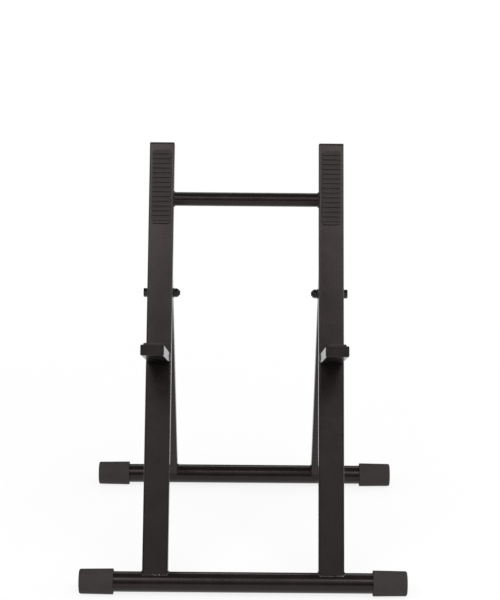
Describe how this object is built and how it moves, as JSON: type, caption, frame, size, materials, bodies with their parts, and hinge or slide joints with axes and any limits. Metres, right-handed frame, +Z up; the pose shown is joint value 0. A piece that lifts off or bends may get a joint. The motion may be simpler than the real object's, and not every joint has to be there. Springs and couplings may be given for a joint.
{
  "type": "folding amp stand",
  "caption": "Folding tilt-back floor stand: two leaning uprights on a capped foot tube, a hinged rear frame and two seat arms that fold up",
  "frame": {"origin": "on the floor, under the middle of the open stand's bounding box", "axes": "+Z up, +X to the right as seen from the front, -Y towards the front, where the seat arms point"},
  "size_m": [0.508, 0.4726, 0.6343],
  "materials": {
    "black_paint": "semi-gloss black powder coat",
    "black_rubber": "matte",
    "black_plastic": "satin moulded",
    "black_zinc": "black zinc plating",
    "nylon": "natural nylon"
  },
  "bodies": {
    "front_frame": {"front_foot_tube": "black_paint", "front_foot_cap_left": "black_rubber", "front_foot_cap_right": "black_rubber", "upright_left": "black_paint", "upright_plug_left": "black_plastic", "back_pad_left": "black_rubber", "arm_bracket_left": "black_paint", "arm_rivet_left": "black_zinc", "arm_bush_left_inner": "nylon", "arm_bush_left_outer": "nylon", "rear_bracket_left": "black_paint", "rear_bolt_left": "black_zinc", "rear_nut_left": "black_zinc", "rear_bush_left_inner": "nylon", "rear_washer_left_inner": "black_zinc", "rear_bush_left_outer": "nylon", "rear_washer_left_outer": "black_zinc", "upright_right": "black_paint", "upright_plug_right": "black_plastic", "back_pad_right": "black_rubber", "arm_bracket_right": "black_paint", "arm_rivet_right": "black_zinc", "arm_bush_right_inner": "nylon", "arm_bush_right_outer": "nylon", "rear_bracket_right": "black_paint", "rear_bolt_right": "black_zinc", "rear_nut_right": "black_zinc", "rear_bush_right_inner": "nylon", "rear_washer_right_inner": "black_zinc", "rear_bush_right_outer": "nylon", "rear_washer_right_outer": "black_zinc", "back_crossbar": "black_paint"},
    "rear_frame": {"rear_foot_tube": "black_paint", "rear_foot_cap_left": "black_rubber", "rear_leg_left": "black_paint", "rear_foot_cap_right": "black_rubber", "rear_leg_right": "black_paint"},
    "arm_left": {"seat_arm_left": "black_paint", "arm_plug_left": "black_plastic", "arm_pad_left": "black_rubber"},
    "arm_right": {"seat_arm_right": "black_paint", "arm_plug_right": "black_plastic", "arm_pad_right": "black_rubber"}
  },
  "joints": [
    {"name": "rear_frame_fold", "type": "hinge", "parent": "front_frame", "child": "rear_frame", "pos_m": [0, 0.0518, 0.40672], "axis": [-1, 0, 0], "range_deg": [0, 52.5]},
    {"name": "arm_left_fold", "type": "hinge", "parent": "front_frame", "child": "arm_left", "pos_m": [-0.1365, -0.04912, 0.33393], "axis": [-1, 0, 0], "range_deg": [0, 97]},
    {"name": "arm_right_fold", "type": "hinge", "parent": "front_frame", "child": "arm_right", "pos_m": [0.1365, -0.04912, 0.33393], "axis": [-1, 0, 0], "range_deg": [0, 97]}
  ]
}
